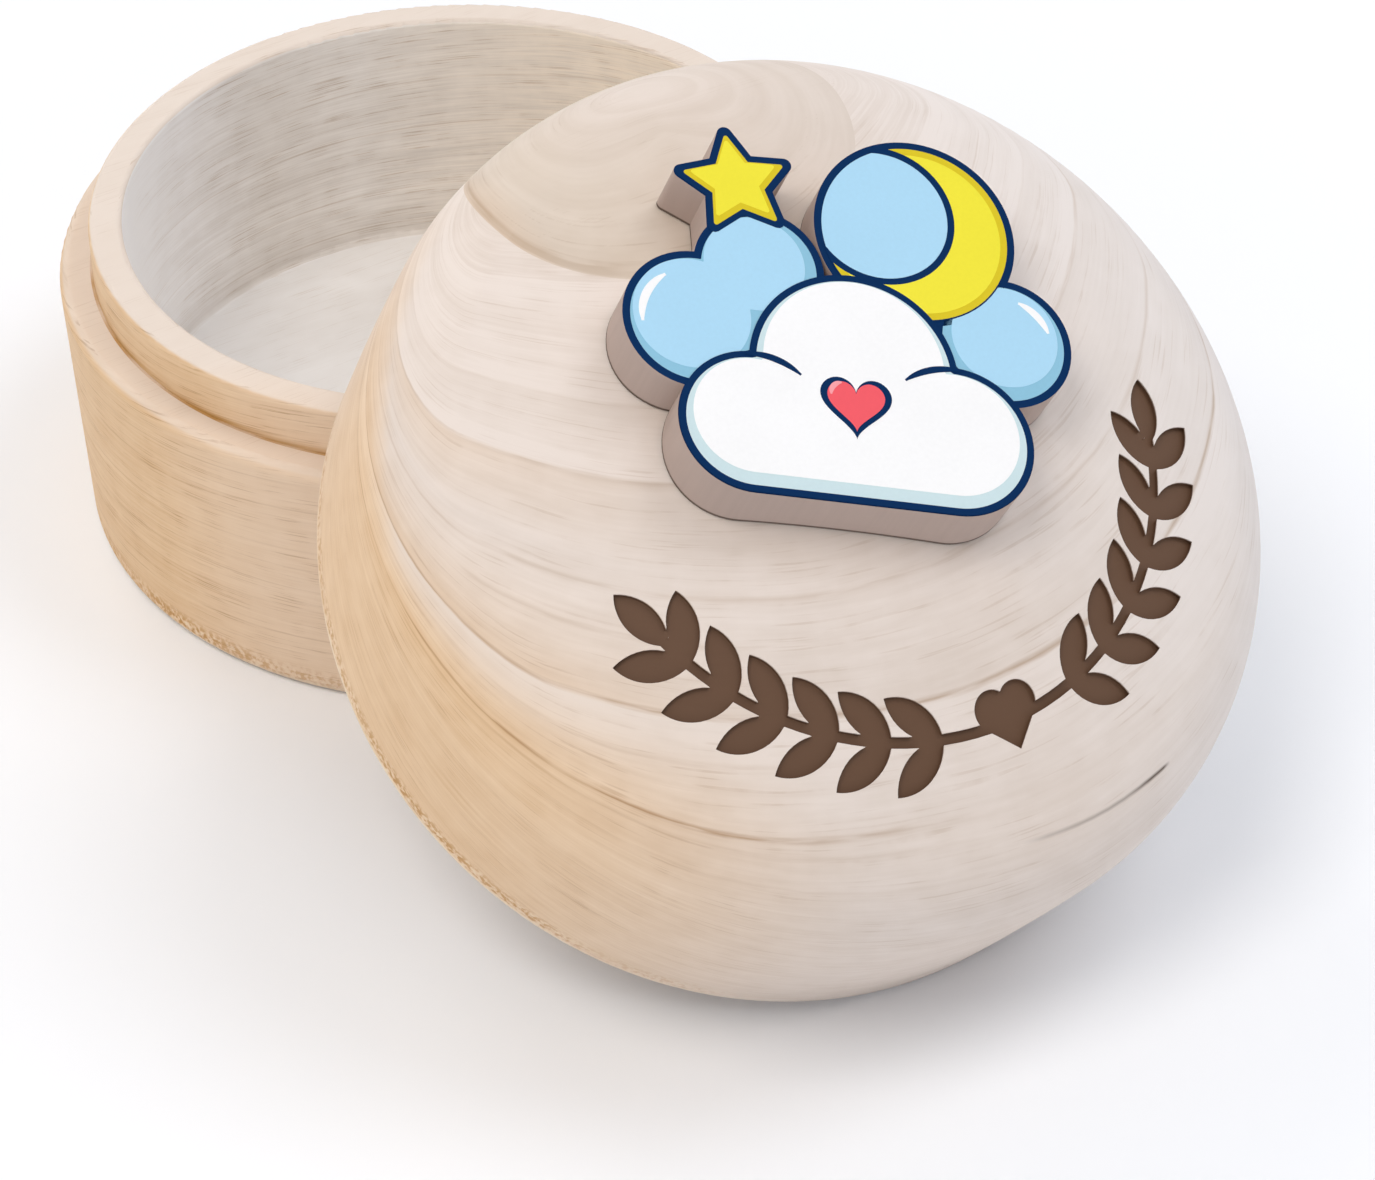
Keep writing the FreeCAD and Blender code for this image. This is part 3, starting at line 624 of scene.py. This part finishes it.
# what the fields measure in mm: an inset from the outline, a shift aside, a centre or a width.
# An arc has its radius, its width and the degrees between which it runs.
fields = {
    "ringInset": 0.05,
    "leftCentre": (-8.0, 1.2), "leftInset": 0.95, "leftShift": (-0.3, 0.35),
    "rightInset": 1.0, "rightShift": (0.1, 0.45),
    "leftGlint": (3.45, 0.55, 125, 190), "rightGlint": (3.2, 0.5, 20, 70),
    "bite": (-2.3, 1.0), "biteRadius": 4.5, "goldBiteRadius": 4.95,
    "moonLineInset": 0.4, "moonYellowInset": 0.95,
    "starRingInset": 0.08, "starGoldInset": 0.48, "starYellowInset": 0.72, "starShift": (-0.08, 0.16),
    "cloudCentre": (0.2, -6.0), "cloudInset": 0.95, "cloudShift": (0, 0.4),
    "curlLeft": (4.6, 0.45, 97, 50), "curlRight": (4.9, 0.45, 84, 130),
    "heartCentre": (0.25, -5.2), "heartWidth": 4.6, "redCentre": (0.25, -5.15), "redWidth": 3.7,
    "pinkCentre": (-0.6, -4.6), "pinkGlint": (0.75, 0.35, 95, 190),
}


def printField(name, ink, outline, level):
    # a closed film whose foot is sunk by half a film in what lies below it
    low = (faceMm + (level - 0.5) * filmMm) * mm
    high = (faceMm + (level + 1) * filmMm) * mm
    build = bmesh.new()
    foot = [build.verts.new(plaqueFrame @ Vector((p.x * mm, p.y * mm, low))) for p in outline]
    top = [build.verts.new(plaqueFrame @ Vector((p.x * mm, p.y * mm, high))) for p in outline]
    build.faces.new(top)
    build.faces.new(foot[::-1])
    for i in range(len(outline)):
        nextOne = (i + 1) % len(outline)
        build.faces.new((foot[i], foot[nextOne], top[nextOne], top[i]))
    bmesh.ops.recalc_face_normals(build, faces=build.faces)
    bmesh.ops.triangulate(build, faces=build.faces)
    mesh = bpy.data.meshes.new(name)
    build.to_mesh(mesh)
    build.free()
    mesh.materials.append(inks[ink])
    piece = bpy.data.objects.new(name, mesh)
    bpy.context.scene.collection.objects.link(piece)
    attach(piece, "lid")


def printPuffs():
    left = ["puffLeft", "puffUpper"]
    leftCentre = fields["leftCentre"]
    leftLight = roundedOutline(left, leftCentre, fields["leftInset"], fields["leftShift"])
    printField("printLeftMid", "mid", roundedOutline(left, leftCentre, lineMm), 0)
    printField("printLeftLight", "light", leftLight, 1)
    right = ["puffRight"]
    rightCentre = puffs["puffRight"][:2]
    rightLight = roundedOutline(right, rightCentre, fields["rightInset"], fields["rightShift"])
    printField("printRightMid", "mid", roundedOutline(right, rightCentre, lineMm), 0)
    printField("printRightLight", "light", rightLight, 1)
    printField("printLeftGlint", "white", arcOutline(puffs["puffLeft"][:2], *fields["leftGlint"]), 2)
    printField("printRightGlint", "white", arcOutline(rightCentre, *fields["rightGlint"]), 2)


def printMoonAndStar():
    centre = puffs["moon"][:2]
    radius = puffs["moon"][2]
    printField("printMoonRing", "navy", roundedOutline(["moon"], centre, fields["ringInset"]), 0)
    printField("printMoonSky", "light", roundedOutline(["moon"], centre, lineMm), 1)
    for name, ink, inset, biteRadius, level in (
            ("printMoonLine", "navy", fields["moonLineInset"], fields["biteRadius"], 2),
            ("printMoonGold", "gold", lineMm, fields["goldBiteRadius"], 3),
            ("printMoonYellow", "yellow", fields["moonYellowInset"], fields["goldBiteRadius"], 4)):
        printField(name, ink, crescentOutline(centre, radius - inset, biteRadius, fields["bite"]), level)
    printField("printStarRing", "navy", starOutline(fields["starRingInset"]), 2)
    printField("printStarGold", "gold", starOutline(fields["starGoldInset"]), 3)
    printField("printStarYellow", "yellow", starOutline(fields["starYellowInset"], fields["starShift"]), 4)


def printCloud():
    cloud = ["cloudLeft", "cloudMiddle", "cloudRight"]
    centre = fields["cloudCentre"]
    bottom = puffs["cloudLeft"].y - puffs["cloudLeft"].z
    ring = roundedOutline(cloud, centre, fields["ringInset"], flatBottom=bottom)
    white = roundedOutline(cloud, centre, fields["cloudInset"], fields["cloudShift"], bottom)
    printField("printCloudRing", "navy", ring, 5)
    printField("printCloudShade", "shade", roundedOutline(cloud, centre, lineMm, flatBottom=bottom), 6)
    printField("printCloudWhite", "white", white, 7)
    printField("printCurlLeft", "navy", arcOutline(puffs["cloudLeft"][:2], *fields["curlLeft"]), 8)
    printField("printCurlRight", "navy", arcOutline(puffs["cloudRight"][:2], *fields["curlRight"]), 8)
    printField("printHeartRing", "navy", heartOutline(fields["heartCentre"], fields["heartWidth"]), 8)
    printField("printHeartRed", "red", heartOutline(fields["redCentre"], fields["redWidth"]), 9)
    printField("printHeartGlint", "pink", arcOutline(fields["pinkCentre"], *fields["pinkGlint"]), 10)


# plywood cut by laser: the beam browns the edge and leaves faint streaks through the thickness,
# a painted shade darkens its foot where it sits on the lid, and the face under the print is inked dark
cutEdge = {
    "shader": {"Roughness": 0.6, "Specular IOR Level": 0.05},
    # a darker brown for the streaks and for the painted shade at the edge's foot
    "brown": "#bba9a0", "streakAndShade": "#5f5148", "seamShadeMm": (0.34, 0.24), "seamShadeDepth": 0.9,
    "streakMm": 0.4, "streakLengthMm": 10.0, "streakNoise": (0.4, 0.7), "streakDepth": 0.05,
    "faceFrom": 0.7, "bumpStrength": 0.2, "bumpMm": 0.03,
}


def cutPlywood():
    material, tree, shader = newMaterial("plaqueLaserCutPlywood", cutEdge["shader"])
    add = partial(addNode, tree)
    turn = plaqueFrame.to_euler()
    local = add("Mapping", vector_type="TEXTURE", inputs={
        "Vector": add("TexCoord", output="Object"),
        "Location": plaqueFrame.translation, "Rotation": turn, "Scale": (mm, mm, mm)})
    facing = add("Mapping", vector_type="TEXTURE", inputs={
        "Vector": add("TexCoord", output="Normal"), "Rotation": turn})
    perMm = (1 / cutEdge["streakMm"], 1 / cutEdge["streakMm"], 1 / cutEdge["streakLengthMm"])
    stretched = add("VectorMath", local, perMm, operation="MULTIPLY")
    streaks = add("TexNoise", inputs={"Vector": stretched, "Scale": 1.0, "Detail": 2.0})
    radius = lidShape["crownRadiusMm"]
    fromCentre = add("VectorMath", local, (0, 0, -radius), operation="DISTANCE", output="Value")
    # painted shade along the edge's foot, where the plate sits on the lid
    seamShadeLimits = [radius + height for height in cutEdge["seamShadeMm"]]
    foot = add("MapRange", fromCentre, *seamShadeLimits, 0.0, cutEdge["seamShadeDepth"])
    streaky = add("MapRange", streaks, *cutEdge["streakNoise"], 0.0, cutEdge["streakDepth"])
    streakAndShade = add("Math", foot, streaky, operation="MAXIMUM")
    color = add("Mix", inputs={
        0: streakAndShade, 6: linearColor(cutEdge["brown"]), 7: linearColor(cutEdge["streakAndShade"])}, **colorMix)
    up = add("SeparateXYZ", facing, output="Z")
    face = add("Math", up, cutEdge["faceFrom"], operation="GREATER_THAN")
    color = add("Mix", inputs={0: face, 6: color, 7: linearColor(inkColors["navy"])}, **colorMix)
    tree.links.new(color, shader.inputs["Base Color"])
    bump = add("Bump", inputs={
        "Strength": cutEdge["bumpStrength"], "Distance": cutEdge["bumpMm"] * mm, "Height": streaks})
    tree.links.new(bump, shader.inputs["Normal"])
    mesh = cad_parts["plaque"].data
    mesh.materials.clear()
    mesh.materials.append(material)


cutPlywood()
printPuffs()
printMoonAndStar()
printCloud()
print("plaque cut and printed")


# floor, light and camera, in metres unless a name says otherwise
studio = {
    "floorWidth": 4.0, "floorColor": "#f6f8fb", "floorGlow": 0.01, "whiteFrom": 0.05, "whiteTo": 0.42,
    "drop": 0.02 * mm,  # the floor lies this far below the cup, so that the two faces never meet
    "shader": {"Roughness": 0.9, "Specular IOR Level": 0.0},
}
lamps = {
    "leftLamp": {"at": (-0.41, -0.14, 0.79), "size": 0.45, "power": 2.6, "color": "#fff9f2"},
    "rightLamp": {"at": (0.38, -0.21, 0.79), "size": 0.45, "power": 1.6, "color": "#fafcff"},
    "backLamp": {"at": (0.0, 0.64, 0.6), "size": 0.45, "power": 1.2, "color": "#fffdfa"},
}
skyColors = {"warmSide": "#faf8f6", "coolSide": "#eef3ff", "strength": 0.6}
cameraView = {
    "aimMm": (-6.79, -42.23, 20.0), "distanceMm": 254.59, "turn": -32.59, "pitch": 49.605,
    "lensMm": 100.51, "sensorMm": 36.0, "clipStart": 0.01,
}


def seenRays(add):  # 1 for what the eye meets straight, in a gloss or through glass, else 0
    path = add("LightPath").node.outputs
    seen = add("Math", path["Is Camera Ray"], path["Is Glossy Ray"], operation="ADD")
    return add("Math", seen, path["Is Transmission Ray"], operation="ADD", use_clamp=True)


def buildFloor():
    mesh = bpy.data.meshes.new("floor")
    half = studio["floorWidth"] / 2
    corners = [(sx * half, sy * half, -studio["drop"]) for sx, sy in ((-1, -1), (1, -1), (1, 1), (-1, 1))]
    mesh.from_pydata(corners, [], [(0, 1, 2, 3)])
    floor = bpy.data.objects.new("floor", mesh)
    bpy.context.scene.collection.objects.link(floor)
    # white paper, matt, which fades slowly into the white background with the distance from the box
    paper = {"Base Color": linearColor(studio["floorColor"]), **studio["shader"]}
    material, tree, shader = newMaterial("whitePaperFloor", paper)
    add = partial(addNode, tree)
    away = add("VectorMath", add("TexCoord", output="Object"), operation="LENGTH", output="Value")
    fade = add("MapRange", away, studio["whiteFrom"], studio["whiteTo"], studio["floorGlow"], 1.0,
               interpolation_type="SMOOTHSTEP")
    seenGlow = add("Math", seenRays(add), fade, operation="MULTIPLY")
    glow = add("Emission", inputs={"Strength": seenGlow})
    both = add("AddShader", shader.outputs[0], glow)
    tree.links.new(both, tree.nodes["Material Output"].inputs["Surface"])
    mesh.materials.append(material)


def buildLight():
    target = Vector(cameraView["aimMm"]) * mm
    for name, lamp in lamps.items():
        light = bpy.data.lights.new(name, "AREA")
        light.shape = "DISK"
        light.size = lamp["size"]
        light.energy = lamp["power"]
        light.color = linearColor(lamp["color"])[:3]
        holder = bpy.data.objects.new(name, light)
        holder.location = lamp["at"]
        holder.rotation_euler = (target - holder.location).to_track_quat("-Z", "Y").to_euler()
        bpy.context.scene.collection.objects.link(holder)
    # a pale sky, warmer at one side, that the eye sees as plain white
    world = bpy.data.worlds.new("paleStudio")
    bpy.context.scene.world = world
    world.use_nodes = True
    tree = world.node_tree
    add = partial(addNode, tree)
    across = add("SeparateXYZ", add("TexCoord", output="Generated"))
    tint = add("ValToRGB", add("MapRange", across, -1.0, 1.0), stops=[
        (0.0, linearColor(skyColors["warmSide"])), (1.0, linearColor(skyColors["coolSide"]))])
    sky = add("Background", inputs={"Color": tint, "Strength": skyColors["strength"]})
    white = add("Background", inputs={"Color": (1, 1, 1, 1), "Strength": 1.0})
    mixed = add("MixShader", seenRays(add), sky, white)
    tree.links.new(mixed, tree.nodes["World Output"].inputs["Surface"])


def buildCamera():
    camera = bpy.data.cameras.new("photoCamera")
    camera.sensor_fit = "HORIZONTAL"
    camera.sensor_width = cameraView["sensorMm"]
    camera.lens = cameraView["lensMm"]
    camera.clip_start = cameraView["clipStart"]
    holder = bpy.data.objects.new("photoCamera", camera)
    holder.rotation_euler = (math.radians(cameraView["pitch"]), 0, math.radians(cameraView["turn"]))
    back = holder.rotation_euler.to_matrix() @ Vector((0, 0, 1))
    holder.location = (Vector(cameraView["aimMm"]) + back * cameraView["distanceMm"]) * mm
    bpy.context.scene.collection.objects.link(holder)
    bpy.context.scene.camera = holder


buildFloor()
buildLight()
buildCamera()
bpy.context.scene.view_settings.view_transform = "Standard"
print("floor, light and camera set")
